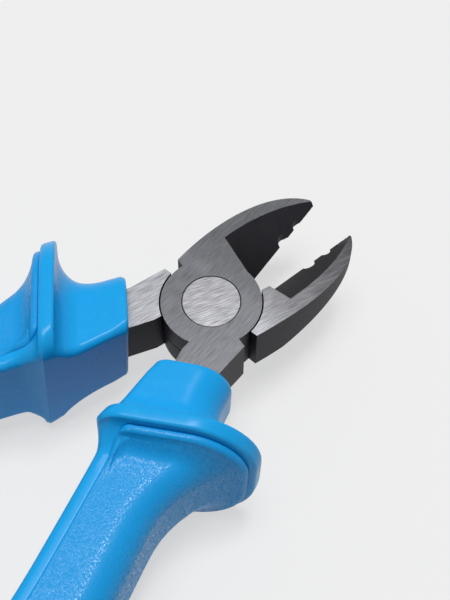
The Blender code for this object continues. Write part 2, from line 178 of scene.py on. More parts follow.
def prism(name, outline, bottom, top):
    """An outline in X and Y, extruded from one height to another."""
    return loft(name, [[Vector((x, y, z)) for x, y in outline] for z in (bottom, top)])


def side_prism(name, profile, half_width):
    """A profile in Y and Z, extruded across X."""
    return loft(name, [[Vector((x, y, z)) for y, z in profile] for x in (-half_width, half_width)])


def circle(radius, x=0.0, y=0.0):
    turn = 2 * math.pi / ROUND_STEPS
    angles = [i * turn for i in range(ROUND_STEPS)]
    return [(x + radius * math.cos(angle), y + radius * math.sin(angle)) for angle in angles]


def turned(name, profile):
    """A solid of revolution on the Z axis, from a profile of radius and height."""
    return loft(name, [[Vector((x, y, z)) for x, y in circle(radius)] for radius, z in profile])


def combine(target, tool, operation):
    """Joins or cuts one solid by another, which is then removed."""
    modifier = target.modifiers.new(operation.lower(), "BOOLEAN")
    modifier.operation = operation
    modifier.solver = "EXACT"
    modifier.object = tool
    bpy.context.view_layer.update()
    graph = bpy.context.evaluated_depsgraph_get()
    shape = bpy.data.meshes.new_from_object(target.evaluated_get(graph))
    target.modifiers.clear()
    target.data = shape
    bpy.data.objects.remove(tool, do_unlink=True)


def bezier(first, second, third, fourth):
    points = []
    for i in range(CURVE_STEPS + 1):
        u = i / CURVE_STEPS
        v = 1 - u
        weights = (v**3, 3 * u * v**2, 3 * u**2 * v, u**3)
        pairs = zip(weights, (first, second, third, fourth))
        points.append(sum((Vector(point) * weight for weight, point in pairs), Vector((0.0, 0.0))))
    return points


def mirrored(points, side):
    return [(side * x, y) for x, y in points]


def flipped(rings, side):
    return [[Vector((side * point.x, point.y, point.z)) for point in ring] for ring in rings]


def ramp(y):
    """Height of the jaw's underside, which climbs towards the tip from the edge of the disc."""
    return (y - DISC_RADIUS) * math.tan(RAMP_ANGLE)


def grind(y):
    """Height of the jaw's top face, ground in a slow curve that falls towards the tip."""
    share = max(0.0, (y - GRIND_START) / (TIP_REACH - GRIND_START))
    return HEAD_THICKNESS - GRIND_DROP * share**GRIND_CURVE


def root_line(x):
    return POCKET_Y - (POCKET_X - x) * math.tan(ROOT_ANGLE)


def outer_curve():
    """The outside of the jaw from its stop to the tip."""
    tip = (EDGE_OFFSET + TIP_WIDTH, TIP_REACH)
    start = (HEAD_HALF_WIDTH, HEAD_HALF_WIDTH * math.tan(JAW_STOP_ANGLE) + SHOULDER)
    length = TIP_REACH - start[1]
    reach = start[0] - tip[0]
    rise = (start[0], start[1] + OUTER_RISE * length)
    belly = (tip[0] + OUTER_BELLY[0] * reach, start[1] + OUTER_BELLY[1] * length)
    return bezier(start, rise, belly, tip)


def rim_curve():
    """The line on top of the jaw where the long bevel down to the cutting edge begins."""
    tip = (EDGE_OFFSET + TIP_WIDTH / 2, TIP_REACH)
    start = (POCKET_X, POCKET_Y)
    length = tip[1] - start[1]
    reach = start[0] - tip[0]
    rise = (tip[0] + RIM_RISE[0] * reach, start[1] + RIM_RISE[1] * length)
    belly = (tip[0] + RIM_BELLY[0] * reach, start[1] + RIM_BELLY[1] * length)
    return bezier(start, rise, belly, tip)


def jaw_outline():
    """The jaw from its stop face round the outside to the tip, and back along the cutting edge."""
    stop = Vector((math.cos(JAW_STOP_ANGLE), math.sin(JAW_STOP_ANGLE)))
    back_inner = stop * (RIVET_HEAD_RADIUS + RIVET_LAND)
    back_outer = stop * (HEAD_HALF_WIDTH / stop.x)
    edge_end = (EDGE_OFFSET, TIP_REACH)
    edge_start = (EDGE_OFFSET, root_line(EDGE_OFFSET) + EDGE_ROOT)
    return [back_inner, back_outer, *outer_curve(), edge_end, edge_start, (CROTCH, DISC_RADIUS - PAST)]


def plate_outline():
    """The disc that laps over the other lever, with a web that fills it out to the bevel's root."""
    first = math.acos(WEB_END / DISC_RADIUS)
    last = 2 * math.pi + math.acos(POCKET_X / DISC_RADIUS)
    points = []
    for i in range(ROUND_STEPS + 1):
        angle = first + (last - first) * i / ROUND_STEPS
        points.append((DISC_RADIUS * math.cos(angle), DISC_RADIUS * math.sin(angle)))
    return [*points, (POCKET_X, POCKET_Y), (WEB_END, root_line(WEB_END))]


def handle_frame(t):
    """A point on the handle's axis at a distance from the pivot, with the ways along and across it."""
    turned_by = max(0.0, t - BOW_START) / BOW_RADIUS
    along = Vector((math.sin(HANDLE_SPLAY), -math.cos(HANDLE_SPLAY)))
    across = Vector((math.cos(HANDLE_SPLAY), math.sin(HANDLE_SPLAY)))
    point = along * (min(t, BOW_START) + BOW_RADIUS * math.sin(turned_by))
    point -= across * (BOW_RADIUS * (1 - math.cos(turned_by)))
    turn = Matrix.Rotation(-turned_by, 2)
    return point, turn @ along, turn @ across


def on_handle(t, n):
    point, _, across = handle_frame(t)
    return point + across * n


def tang_outline(grow=0.0):
    """The tang from its stop shoulder to its tail; grow widens it to the socket in the grip."""
    stop = Vector((math.cos(TANG_STOP_ANGLE), -math.sin(TANG_STOP_ANGLE)))
    root_inner = HEAD_HALF_WIDTH - TANG_ROOT_WIDTH
    tail = TANG_TAIL_WIDTH / 2 + grow
    end = TANG_LENGTH + grow
    points = [
        stop * (RIVET_HEAD_RADIUS + RIVET_LAND),
        stop * (HEAD_HALF_WIDTH / stop.x),
        Vector((HEAD_HALF_WIDTH + grow, -TANG_BEND)),
        on_handle(TANG_STRAIGHT, TANG_OFFSET + tail),
        on_handle(end, TANG_OFFSET + tail),
        on_handle(end, TANG_OFFSET - tail),
        on_handle(TANG_STRAIGHT, TANG_OFFSET - tail),
        Vector((root_inner - grow, -TANG_BEND)),
        Vector((root_inner - grow, -DISC_RADIUS + SHOULDER)),
    ]
    return [(-point.x, point.y) for point in points]


def bevel_rings():
    """Sections of all that lies above the long bevel, from its root wall to past the tip.

    The slanted side of each section runs from just above the rim down through the cutting edge.
    """
    beyond = EDGE_OFFSET - PAST
    roof = HEAD_THICKNESS + 2 * PAST
    root = root_line(EDGE_OFFSET)
    rings = []
    for i, rim in enumerate(rim_curve()):
        edge_y = root + (TIP_REACH - root) * i / CURVE_STEPS
        edge = Vector((EDGE_OFFSET, edge_y, ramp(edge_y) + EDGE_HEIGHT + EDGE_LAND / 2))
        slope = Vector((rim.x, rim.y, grind(rim.y))) - edge
        high = edge + slope * (1 + FIT_GAP / slope.z)
        foot = edge + slope * ((beyond - edge.x) / slope.x)
        rings.append([high, foot, Vector((foot.x, foot.y, roof)), Vector((high.x, high.y, roof))])
    past_tip = Vector((0.0, PAST, 0.0))
    rings.append([point + past_tip for point in rings[-1]])
    return rings


def under_rings():
    """Sections of what the small bevel under the cutting edge takes away."""
    beyond = EDGE_OFFSET - PAST
    slope = EDGE_HEIGHT / UNDER_BEVEL
    floor = -2 * PAST
    rings = []
    for edge_y in (DISC_RADIUS, TIP_REACH + PAST):
        height = ramp(edge_y) + EDGE_HEIGHT - EDGE_LAND / 2
        low = Vector((EDGE_OFFSET + (height - floor) / slope, edge_y, floor))
        high = Vector((beyond, edge_y, height + PAST * slope))
        rings.append([low, high, Vector((beyond, edge_y, floor))])
    return rings


def face_cutters():
    """All that lies above the ground front face, and all that lies below the back face and ramp."""
    far = TIP_REACH + PAST
    behind = -TANG_LENGTH - PAST
    outside = 3 * PAST
    roof = HEAD_THICKNESS + outside
    steps = [GRIND_START + (far - GRIND_START) * i / CURVE_STEPS for i in range(CURVE_STEPS + 1)]
    above = [(behind, HEAD_THICKNESS), *[(y, grind(y)) for y in steps], (far, roof), (behind, roof)]
    below = [(behind, 0.0), (DISC_RADIUS, 0.0), (far, ramp(far)), (far, -outside), (behind, -outside)]
    return side_prism("above", above, TANG_LENGTH), side_prism("below", below, TANG_LENGTH)


def rivet_profile(clearance, past):
    """The rivet from its lower to its upper face: land, cone, shank, cone, land."""
    head = RIVET_HEAD_RADIUS + clearance
    shank = RIVET_SHANK_RADIUS + clearance
    top = HEAD_THICKNESS
    return [
        (head, -past),
        (head, RIVET_LAND),
        (shank, RIVET_HEAD_DEPTH),
        (shank, top - RIVET_HEAD_DEPTH),
        (head, top - RIVET_LAND),
        (head, top + past),
    ]


def lever_solid(side, disc_on_top):
    """One lever; side is +1 for a jaw on +X. Its disc lies in one half of the thickness."""
    lap = FIT_GAP / 2 if disc_on_top else -FIT_GAP / 2
    relief = FIT_GAP if disc_on_top else -FIT_GAP
    roof = HEAD_THICKNESS + 2 * PAST
    own_face = HEAD_THICKNESS + PAST / 2 if disc_on_top else -PAST / 2
    other_face = -2 * PAST if disc_on_top else roof
    own = sorted((MID_PLANE + lap, own_face))
    other = sorted((MID_PLANE + lap + relief, other_face))

    lever = prism("jaw", mirrored(jaw_outline(), side), -PAST, HEAD_THICKNESS + PAST)
    combine(lever, loft("bevel", flipped(bevel_rings(), side)), "DIFFERENCE")
    combine(lever, loft("under_bevel", flipped(under_rings(), side)), "DIFFERENCE")
    if not disc_on_top:
        low = DISC_RADIUS / 2
        crotch = [(-PAST, low), (CROTCH, low), (CROTCH, POCKET_Y), (-PAST, POCKET_Y)]
        combine(lever, prism("crotch", mirrored(crotch, side), MID_PLANE, roof), "DIFFERENCE")
    tang = prism("tang", mirrored(tang_outline(), side), -PAST / 4, HEAD_THICKNESS + PAST / 4)
    combine(lever, tang, "UNION")
    combine(lever, prism("recess", circle(DISC_RADIUS + FIT_GAP), *other), "DIFFERENCE")
    combine(lever, prism("plate", mirrored(plate_outline(), side), *own), "UNION")
    for cutter in face_cutters():
        combine(lever, cutter, "DIFFERENCE")
    combine(lever, turned("bore", rivet_profile(RIVET_CLEARANCE, PAST)), "DIFFERENCE")
    for at, radius in NOTCHES:
        notch = prism("notch", circle(radius, 0.0, at), -PAST, HEAD_THICKNESS + PAST)
        combine(lever, notch, "DIFFERENCE")
    return lever


def settle(item, name, angle):
    """Names a piece, turns it open about the pivot and shades it smooth up to its sharp edges."""
    item.name = name
    item.data.name = name
    item.data.transform(Matrix.Rotation(angle, 4, "Z"))
    item.data.shade_smooth()
    item.data.set_sharp_from_angle(angle=SHARP_ANGLE)
    weighted = item.modifiers.new("flat_faces_stay_flat", "WEIGHTED_NORMAL")
    weighted.keep_sharp = True
    return item


BLACK_OXIDE = "#28282C"
BLACK_OXIDE_PALE = "#333337"
OXIDE_ROUGHNESS = (0.48, 0.60)
OXIDE_CLOUD = 4.0 * MM
CLOUD_DETAIL = 3.0
OXIDE_GRAIN = 0.25 * MM
GRAIN_DETAIL = 2.0
GRAIN_HEIGHT = 0.004 * MM


def black_oxide_steel():
    """Steel blackened in hot salts: a thin dark skin that still mirrors softly, over blasted grain.

    The grain is drawn coarser than real blasting leaves it, so that it shows.
    """
    material, tree, shader = new_material("black_oxide_steel")
    place_at = add(tree, "ShaderNodeTexCoord").outputs["Object"]
    cloud = add(
        tree,
        "ShaderNodeTexNoise",
        {"Vector": place_at, "Scale": 1 / OXIDE_CLOUD, "Detail": CLOUD_DETAIL},
    )
    grain = add(
        tree,
        "ShaderNodeTexNoise",
        {"Vector": place_at, "Scale": 1 / OXIDE_GRAIN, "Detail": GRAIN_DETAIL},
    )
    tone = add(
        tree,
        "ShaderNodeMix",
        {"Factor": cloud.outputs["Fac"], "A": linear(BLACK_OXIDE), "B": linear(BLACK_OXIDE_PALE)},
        data_type="RGBA",
    )
    dull = add(
        tree,
        "ShaderNodeMapRange",
        {"Value": grain.outputs["Fac"], "To Min": OXIDE_ROUGHNESS[0], "To Max": OXIDE_ROUGHNESS[1]},
    )
    bump = add(
        tree,
        "ShaderNodeBump",
        {"Height": grain.outputs["Fac"], "Distance": GRAIN_HEIGHT, "Strength": 1.0},
    )
    tree.links.new(tone.outputs["Result"], shader.inputs["Base Color"])
    tree.links.new(dull.outputs["Result"], shader.inputs["Roughness"])
    tree.links.new(bump.outputs["Normal"], shader.inputs["Normal"])
    shader.inputs["Metallic"].default_value = 1.0
    return material


SCRATCH_WIDTH = 0.19 * MM
SCRATCH_LENGTH = 3.6 * MM
SCRATCH_HEIGHT = 0.006 * MM
SCRATCH_DETAIL = 4.0
SCRATCH_BREAKUP = 0.65
SCRATCH_RANGE = (0.36, 0.64)


def ground_steel(name, tones, roughness, direction, painted_tip_light=1.0):
    """Bare steel off a grinding belt: satin, with fine scratches along one direction.

    The scratches are drawn wider than the belt's real grit lines, so that they show. Towards the jaw
    tip the colour is scaled by a factor: a painted shade where it is below 1, a painted highlight where
    it is above 1.
    """
    material, tree, shader = new_material(name)
    place_at = add(tree, "ShaderNodeTexCoord").outputs["Object"]
    turn = add(tree, "ShaderNodeMapping", {"Vector": place_at, "Rotation": (0.0, 0.0, -direction)})
    stretch = (1 / SCRATCH_WIDTH, 1 / SCRATCH_LENGTH, 1 / SCRATCH_LENGTH)
    scaled = add(tree, "ShaderNodeMapping", {"Vector": turn.outputs["Vector"], "Scale": stretch})
    lines = add(
        tree,
        "ShaderNodeTexNoise",
        {
            "Vector": scaled.outputs["Vector"],
            "Scale": 1.0,
            "Detail": SCRATCH_DETAIL,
            "Roughness": SCRATCH_BREAKUP,
        },
    )
    tone = add(
        tree,
        "ShaderNodeMapRange",
        {"Value": lines.outputs["Fac"], "From Min": SCRATCH_RANGE[0], "From Max": SCRATCH_RANGE[1]},
    )
    ground = add(
        tree,
        "ShaderNodeMix",
        {"Factor": tone.outputs["Result"], "A": linear(tones[0]), "B": linear(tones[1])},
        data_type="RGBA",
    )
    reach = add(tree, "ShaderNodeSeparateXYZ", {"Vector": turn.outputs["Vector"]}).outputs["Y"]
    # Painted light: the steel's colour is scaled from 1 at the pivot to the tip factor at the jaw tip,
    # a painted shade below 1 and a painted highlight above 1.
    painted_tip_scale = add(
        tree,
        "ShaderNodeMapRange",
        {"Value": reach, "From Max": TIP_REACH, "To Min": 1.0, "To Max": painted_tip_light},
    )
    colour = add(
        tree,
        "ShaderNodeVectorMath",
        {0: ground.outputs["Result"], "Scale": painted_tip_scale.outputs["Result"]},
        operation="SCALE",
    )
    dull = add(
        tree,
        "ShaderNodeMapRange",
        {"Value": lines.outputs["Fac"], "To Min": roughness[0], "To Max": roughness[1]},
    )
    bump = add(
        tree,
        "ShaderNodeBump",
        {"Height": lines.outputs["Fac"], "Distance": SCRATCH_HEIGHT, "Strength": 1.0},
    )
    tree.links.new(colour.outputs["Vector"], shader.inputs["Base Color"])
    tree.links.new(dull.outputs["Result"], shader.inputs["Roughness"])
    tree.links.new(bump.outputs["Normal"], shader.inputs["Normal"])
    shader.inputs["Metallic"].default_value = 1.0
    return material


GROUND_SLOPE = math.radians(12.0)
GROUND_DEPTH = 0.15 * MM


def show_grinding(lever, steel, oxide):
    """Gives the ground faces bare steel and leaves the oxide on all others."""
    lever.data.materials.clear()
    lever.data.materials.append(oxide)
    lever.data.materials.append(steel)
    steepest = math.cos(GROUND_SLOPE)
    for face in lever.data.polygons:
        on_front = face.normal.z > steepest and face.center.z > grind(face.center.y) - GROUND_DEPTH
        on_back = face.normal.z < -steepest and face.center.z < GROUND_DEPTH
        face.material_index = 1 if on_front or on_back else 0


REAR_TONES = ("#818287", "#AFAFB4")
REAR_ROUGHNESS = (0.30, 0.42)
# Painted shade: the rear jaw's steel is darkened to 0.4 of its colour at the tip.
REAR_TIP_PAINTED_SHADE = 0.4
FRONT_TONES = ("#595A5E", "#6F7074")
FRONT_ROUGHNESS = (0.34, 0.44)
# Painted highlight: the front jaw's steel is brightened to 1.7 times its colour at the tip.
FRONT_TIP_PAINTED_LIGHT = 1.7

oxide = black_oxide_steel()
rear_steel = ground_steel(
    "rear_ground_steel", REAR_TONES, REAR_ROUGHNESS, -HALF_OPENING, REAR_TIP_PAINTED_SHADE
)
front_steel = ground_steel(
    "front_ground_steel", FRONT_TONES, FRONT_ROUGHNESS, HALF_OPENING, FRONT_TIP_PAINTED_LIGHT
)

rear_lever = lever_solid(1, False)
show_grinding(rear_lever, rear_steel, oxide)
settle(rear_lever, "rear_lever_steel", -HALF_OPENING)
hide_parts("rear_lever")
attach(rear_lever, "rear_half")

front_lever = lever_solid(-1, True)
show_grinding(front_lever, front_steel, oxide)
settle(front_lever, "front_lever_steel", HALF_OPENING)
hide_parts("front_lever")
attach(front_lever, "front_half")


# The pivot rivet
# A turned steel rivet, riveted over into the cones of both discs and ground flush with them.
# Its faces are bright, with coarse grinding scratches across them.

RIVET_EASE = 0.12 * MM
RIVET_SCRATCHES = math.radians(-20.0)
RIVET_TONES = ("#737478", "#B3B3B7")
RIVET_ROUGHNESS = (0.28, 0.40)

profile = rivet_profile(0.0, 0.0)
lowest, highest = profile[0], profile[-1]
eased = [
    (lowest[0] - RIVET_EASE, lowest[1]),
    (lowest[0], lowest[1] + RIVET_EASE),
    *profile[1:-1],
    (highest[0], highest[1] - RIVET_EASE),
    (highest[0] - RIVET_EASE, highest[1]),
]
rivet = settle(turned("rivet", eased), "pivot_rivet_steel", -HALF_OPENING)
rivet.data.materials.append(
    ground_steel("rivet_ground_steel", RIVET_TONES, RIVET_ROUGHNESS, RIVET_SCRATCHES)
)
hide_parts("pivot_rivet")
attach(rivet, "rear_half")


# The two grip cores
# Hard blue polypropylene, injection moulded with a polished neck, finger guard, spine and end cap.
# The tang is pushed into a socket down the middle, and the back of the core is recessed for the cover.

HANDLE_INNER = -4.05 * MM
HANDLE_OUTER = 9.8 * MM
HANDLE_HEIGHT = 19.6 * MM
HANDLE_END = 125.49 * MM
SWELL = 0.44 * MM
SWELL_AT = 84.0 * MM
NECK_START = 14.8 * MM
NECK_INNER = -2.8 * MM
NECK_OUTER = 11.0 * MM
NECK_HEIGHT = 18.8 * MM
NECK_SLANT = math.radians(13.5)
NECK_TOP_FILLET = 5.0 * MM
NECK_SIDE_FILLET = 9.0 * MM
FRONT_ROUND = 0.5 * MM
FRONT_SIDE_ROUND = 1.4 * MM
GUARD_AT = 29.6 * MM
GUARD_INNER = -6.1 * MM
GUARD_OUTER = 21.35 * MM
GUARD_HEIGHT = 31.6 * MM
GUARD_SLANT = math.radians(14.8)
GUARD_RAKE = math.radians(4.0)
GUARD_CROWN = 2.9 * MM
GUARD_ROUND = 0.6 * MM
GUARD_CAMBER = 0.03 * MM
SLANT_HINGE = 7.3 * MM
RIDGE_BEHIND = 0.6 * MM
RIDGE_AT = GUARD_AT + RIDGE_BEHIND
RIDGE_FLARE = 7.0 * MM
RIDGE_CURVE = 2.5
LIP_SIDE_INSET = 1.1 * MM
LIP_TOP_INSET = 1.7 * MM
LIP_WIDTH = 1.5 * MM
LIP_ROUND = 0.8 * MM
LIP_TURN = 3.6 * MM
TOP_FLARE = 3.6 * MM
FLARE_CURVE = 3.5
SIDE_FLARE = 13.5 * MM
SPINE_FLARE = 8.0 * MM
SPINE_WIDTH = 2.4 * MM
SPINE_EASE = 0.3 * MM
COVER_GAP = 0.05 * MM
COVER_WALL = 2.0 * MM
WALL_SPARE = 0.4 * MM
END_CAP = 8.0 * MM
CAP_BEAD = 0.2 * MM
CAP_FLAT = 0.3
INNER_CORNER = 1.4 * MM
NECK_CORNER = 6.6 * MM
HANDLE_CORNER = 5.6 * MM
NECK_WALL_TOP = 7.2 * MM
WALL_TOP = 11.4 * MM
GUARD_OUTER_CORNER = 12.8 * MM
ROUND_LIMIT = 0.97
DRAFT = 0.05 * MM

QUARTER_TURN = math.pi / 2
CORNER_STEPS = 12
EASE_STEPS = 6
FLARE_STEPS = 24
CROWN_STEPS = 12
BODY_STEPS = 40
END_STEPS = 16

Shape = namedtuple("Shape", "inner_edge outer_edge half_height half_depth slant rake inner outer")
Station = namedtuple("Station", "t shape spine crest wall")


def place(section, t, shape):
    """Points of a section, across from its inner edge and up from the mid plane, set on the handle."""
    point, along, across = handle_frame(t)
    points = []
    for a, z in section:
        n = shape.inner_edge + a
        back = (SLANT_HINGE - n) * math.tan(shape.slant) - z * math.tan(shape.rake)
        points.append(Vector((*(point + across * n + along * back), MID_PLANE + z)))
    return points


def corner(a, z, radius, first, last, steps=CORNER_STEPS):
    """An arc round a centre, from one angle to another in degrees."""
    points = []
    for i in range(steps + 1):
        angle = math.radians(first + (last - first) * i / steps)
        points.append((a + radius * math.cos(angle), z + radius * math.sin(angle)))
    return points


def between(first, second, share):
    return first + (second - first) * share


def core_half(station, height, crest):
    """Half of a core section, from its outer side over the recess for the cover to the inner side."""
    shape = station.shape
    depth = station.wall + COVER_GAP if station.wall else 0.0
    whole = shape.outer_edge - shape.inner_edge
    widest = ROUND_LIMIT * whole / 2
    inner = min(max(INNER_CORNER, shape.inner - height + crest), ROUND_LIMIT * crest, widest)
    outer = max(min(shape.outer, ROUND_LIMIT * height, widest) - depth, FIT_GAP)
    ease = SPINE_EASE if depth else DRAFT
    spine = max(station.spine, inner + 4 * ease)
    return [
        *corner(whole - depth - outer, height - depth - outer, outer, 0, 90),
        (spine + 2 * DRAFT, height - depth),
        (spine + DRAFT, crest - ease if depth else crest),
        (spine - ease / 4, crest - ease / 4 if depth else crest),
        (spine - ease, crest),
        *corner(inner, crest - inner, inner, 90, 180),
    ]


def core_ring(station):
    """A section of the core; below the mid plane it may reach deeper than above."""
    shape = station.shape
    more = shape.half_depth - shape.half_height
    upper = core_half(station, shape.half_height, station.crest)
    lower = core_half(station, shape.half_height + more, station.crest + more)
    return place([*[(a, -z) for a, z in reversed(lower)], *upper], station.t, shape)


LIP_AT = GUARD_AT + GUARD_CROWN / 2
FLARE_AT = LIP_AT + COVER_GAP + LIP_WIDTH
FLARE_END = FLARE_AT + SIDE_FLARE
BODY_END = HANDLE_END - END_CAP


def clamped(share):
    return min(1.0, max(0.0, share))


def fillet(left, length):
    """A concave quarter round by the length left of it: 0 at its end, 1 at its upright start."""
    share = clamped(left / length)
    return 1 - math.sqrt(1 - share**2)


def swell(t):
    """A slow swell of the handle for the palm."""
    return SWELL * math.exp(-(((t - SWELL_AT) / (SWELL_AT - BOW_START)) ** 2))


def inner_edge(t):
    """The side that faces the other grip: straight from the neck to a ridge, then hollowed."""
    if t < RIDGE_AT:
        return between(NECK_INNER, GUARD_INNER, (t - NECK_START) / (RIDGE_AT - NECK_START))
    left = max(0.0, 1 - (t - RIDGE_AT) / RIDGE_FLARE)
    return between(HANDLE_INNER - swell(t), GUARD_INNER, left**RIDGE_CURVE)


def inner_round(t, height):
    """Radius of the section's inner corners: what is above the flat inner wall is rounded off."""
    share = min(1.0, (t - NECK_START) / (GUARD_AT - NECK_START))
    return max(INNER_CORNER, height - between(NECK_WALL_TOP, WALL_TOP, share))


def neck_shape(t):
    """The neck, which sweeps up to the crest of the guard on top and, in a longer curve, elsewhere."""
    left = GUARD_AT - GUARD_CROWN / 2 - t
    top = fillet(NECK_TOP_FILLET - left, NECK_TOP_FILLET)
    side = fillet(NECK_SIDE_FILLET - left, NECK_SIDE_FILLET)
    height = between(NECK_HEIGHT / 2, GUARD_HEIGHT / 2 - GUARD_ROUND, top)
    return Shape(
        inner_edge(t),
        between(NECK_OUTER, GUARD_OUTER - GUARD_ROUND, side),
        height,
        between(NECK_HEIGHT / 2, GUARD_HEIGHT / 2 - GUARD_ROUND, side),
        between(NECK_SLANT, GUARD_SLANT, (t - NECK_START) / (GUARD_AT - NECK_START)),
        GUARD_RAKE,
        inner_round(t, height),
        between(NECK_CORNER, GUARD_OUTER_CORNER - GUARD_ROUND, side),
    )


def guard_shape(t, inset):
    return Shape(
        inner_edge(t),
        GUARD_OUTER - inset,
        GUARD_HEIGHT / 2 - inset,
        GUARD_HEIGHT / 2 - inset,
        GUARD_SLANT,
        GUARD_RAKE,
        inner_round(t, GUARD_HEIGHT / 2 - inset),
        GUARD_OUTER_CORNER - inset,
    )


def handle_shape(t, grow=0.0):
    """The handle's plain section along its length."""
    more = swell(t) + grow
    return Shape(
        HANDLE_INNER - more,
        HANDLE_OUTER + more,
        HANDLE_HEIGHT / 2 + more,
        HANDLE_HEIGHT / 2 + more,
        0.0,
        0.0,
        INNER_CORNER,
        HANDLE_CORNER,
    )


def spine_width(t):
    """Width of the spine's rim, which turns into the guard in an arc at the lip."""
    short = max(0.0, LIP_TURN - (t - LIP_AT))
    return SPINE_WIDTH + LIP_TURN - math.sqrt(LIP_TURN**2 - short**2)


def turned_down(t):
    """How far the lip has rounded down where its back edge is near."""
    return LIP_ROUND * fillet(t - (FLARE_AT - LIP_ROUND), LIP_ROUND)


def flared_height(t, length):
    """Height above the mid plane: the lip, then a steep flare with a shallow toe down to the handle."""
    share = clamped((FLARE_AT + length - t) / length) ** FLARE_CURVE
    lip = GUARD_HEIGHT / 2 - LIP_TOP_INSET - turned_down(t)
    return between(handle_shape(t).half_height, lip, share)


def body_station(t):
    """A station behind the guard: the rounded lip, a flare that is long at the side, the handle.

    The spine starts its own flare at the crest, so the lip stands above it.
    """
    lip_side = LIP_SIDE_INSET + turned_down(t)
    lip_top = LIP_TOP_INSET + turned_down(t)
    side = fillet(FLARE_END - t, SIDE_FLARE)
    back = fillet(LIP_AT + SPINE_FLARE - t, SPINE_FLARE)
    share = clamped((FLARE_END - t) / SIDE_FLARE)
    plain = handle_shape(t)
    height = flared_height(t, TOP_FLARE)
    shape = Shape(
        inner_edge(t),
        between(plain.outer_edge, GUARD_OUTER - lip_side, side),
        height,
        height,
        GUARD_SLANT * share,
        GUARD_RAKE * share,
        max(INNER_CORNER, height - between(plain.half_height - INNER_CORNER, WALL_TOP, back)),
        between(HANDLE_CORNER, GUARD_OUTER_CORNER - lip_top, side**2),
    )
    crest = between(plain.half_height, GUARD_HEIGHT / 2 - GUARD_ROUND, back)
    wall = max(COVER_WALL, height - crest + WALL_SPARE)
    return Station(t, shape, spine_width(t), crest, wall)


def body_stations():
    places = [LIP_AT]
    flat = LIP_WIDTH - LIP_ROUND
    for i in range(CROWN_STEPS):
        places.append(LIP_AT + COVER_GAP + flat * i / CROWN_STEPS)
    for i in range(CROWN_STEPS):
        places.append(FLARE_AT - LIP_ROUND * (1 - math.sin(QUARTER_TURN * i / CROWN_STEPS)))
    for i in range(FLARE_STEPS):
        places.append(FLARE_AT + TOP_FLARE * (1 - math.cos(QUARTER_TURN * i / FLARE_STEPS)))
    rest = BODY_END - FLARE_AT - TOP_FLARE
    for i in range(BODY_STEPS + 1):
        places.append(FLARE_AT + TOP_FLARE + rest * i / BODY_STEPS)
    return [body_station(t) for t in places]


def head_stations():
    """Stations of the neck with its rounded front, its sweep and the flat crest of the guard."""
    crown = GUARD_CROWN / 2
    sections = []
    front = NECK_START + FRONT_SIDE_ROUND
    for i in range(2 * EASE_STEPS):
        run = FRONT_SIDE_ROUND * (1 - math.cos(QUARTER_TURN * i / (2 * EASE_STEPS)))
        shape = neck_shape(NECK_START + run)
        down = FRONT_ROUND * fillet(FRONT_ROUND - run, FRONT_ROUND)
        cut = FRONT_SIDE_ROUND * fillet(FRONT_SIDE_ROUND - run, FRONT_SIDE_ROUND)
        shape = shape._replace(
            inner_edge=shape.inner_edge + down,
            outer_edge=shape.outer_edge - cut,
            half_height=shape.half_height - down,
            half_depth=shape.half_depth - down,
        )
        sections.append((NECK_START + run, shape))
    sweep = GUARD_AT - crown - front
    for i in range(FLARE_STEPS + 1):
        t = front + sweep * math.sin(QUARTER_TURN * i / FLARE_STEPS)
        sections.append((t, neck_shape(t)))
    for i in range(1, EASE_STEPS):
        angle = QUARTER_TURN * i / EASE_STEPS
        t = GUARD_AT - crown + GUARD_ROUND * (1 - math.cos(angle))
        inset = between(GUARD_ROUND, GUARD_CAMBER, math.sin(angle))
        sections.append((t, guard_shape(t, inset)))
    for i in range(CROWN_STEPS + 1):
        across = 2 * i / CROWN_STEPS - 1
        t = GUARD_AT + (crown - GUARD_ROUND) * across
        sections.append((t, guard_shape(t, GUARD_CAMBER * across**2)))
    for i in range(1, EASE_STEPS + 1):
        angle = QUARTER_TURN * i / EASE_STEPS
        t = GUARD_AT + crown - GUARD_ROUND * (1 - math.sin(angle))
        inset = between(GUARD_ROUND, GUARD_CAMBER, math.cos(angle))
        sections.append((t, guard_shape(t, inset)))
    return [Station(t, shape, SPINE_WIDTH + LIP_TURN, shape.half_height, 0.0) for t, shape in sections]


def cap_stations():
    """Stations of the end cap, which rounds off to a small flat."""
    stations = []
    for i in range(END_STEPS + 1):
        run = math.sin(QUARTER_TURN * i / END_STEPS)
        share = math.sqrt(CAP_FLAT**2 + (1 - CAP_FLAT**2) * (1 - run**2))
        t = BODY_END + END_CAP * run
        shape = handle_shape(t, CAP_BEAD)
        middle = (shape.inner_edge + shape.outer_edge) / 2
        half_width = (shape.outer_edge - shape.inner_edge) / 2 * share
        shape = shape._replace(
            inner_edge=middle - half_width,
            outer_edge=middle + half_width,
            half_height=shape.half_height * share,
            half_depth=shape.half_height * share,
        )
        stations.append(Station(t, shape, min(SPINE_WIDTH, half_width), shape.half_height, 0.0))
    return stations


def grip_core():
    """Neck, guard, recessed spine and end cap as one moulding, with the socket for the tang."""
    stations = [*head_stations(), *body_stations(), *cap_stations()]
    core = loft("core", [core_ring(station) for station in stations])
    socket = mirrored(tang_outline(FIT_GAP), -1)
    combine(core, prism("socket", socket, -FIT_GAP, HEAD_THICKNESS + FIT_GAP), "DIFFERENCE")
    return core


def mirror_across(item):
    item.data.transform(Matrix.Scale(-1, 4, (1, 0, 0)))
    item.data.flip_normals()


SMOOTH_BLUE = "#189DDF"
SMOOTH_BLUE_DEEP = "#1497D9"
SMOOTH_ROUGHNESS = (0.22, 0.30)
SMOOTH_GLOSS = 0.16
PLASTIC_IOR = 1.49
PEEL = 1.6 * MM
PEEL_DETAIL = 2.0
PEEL_HEIGHT = 0.008 * MM


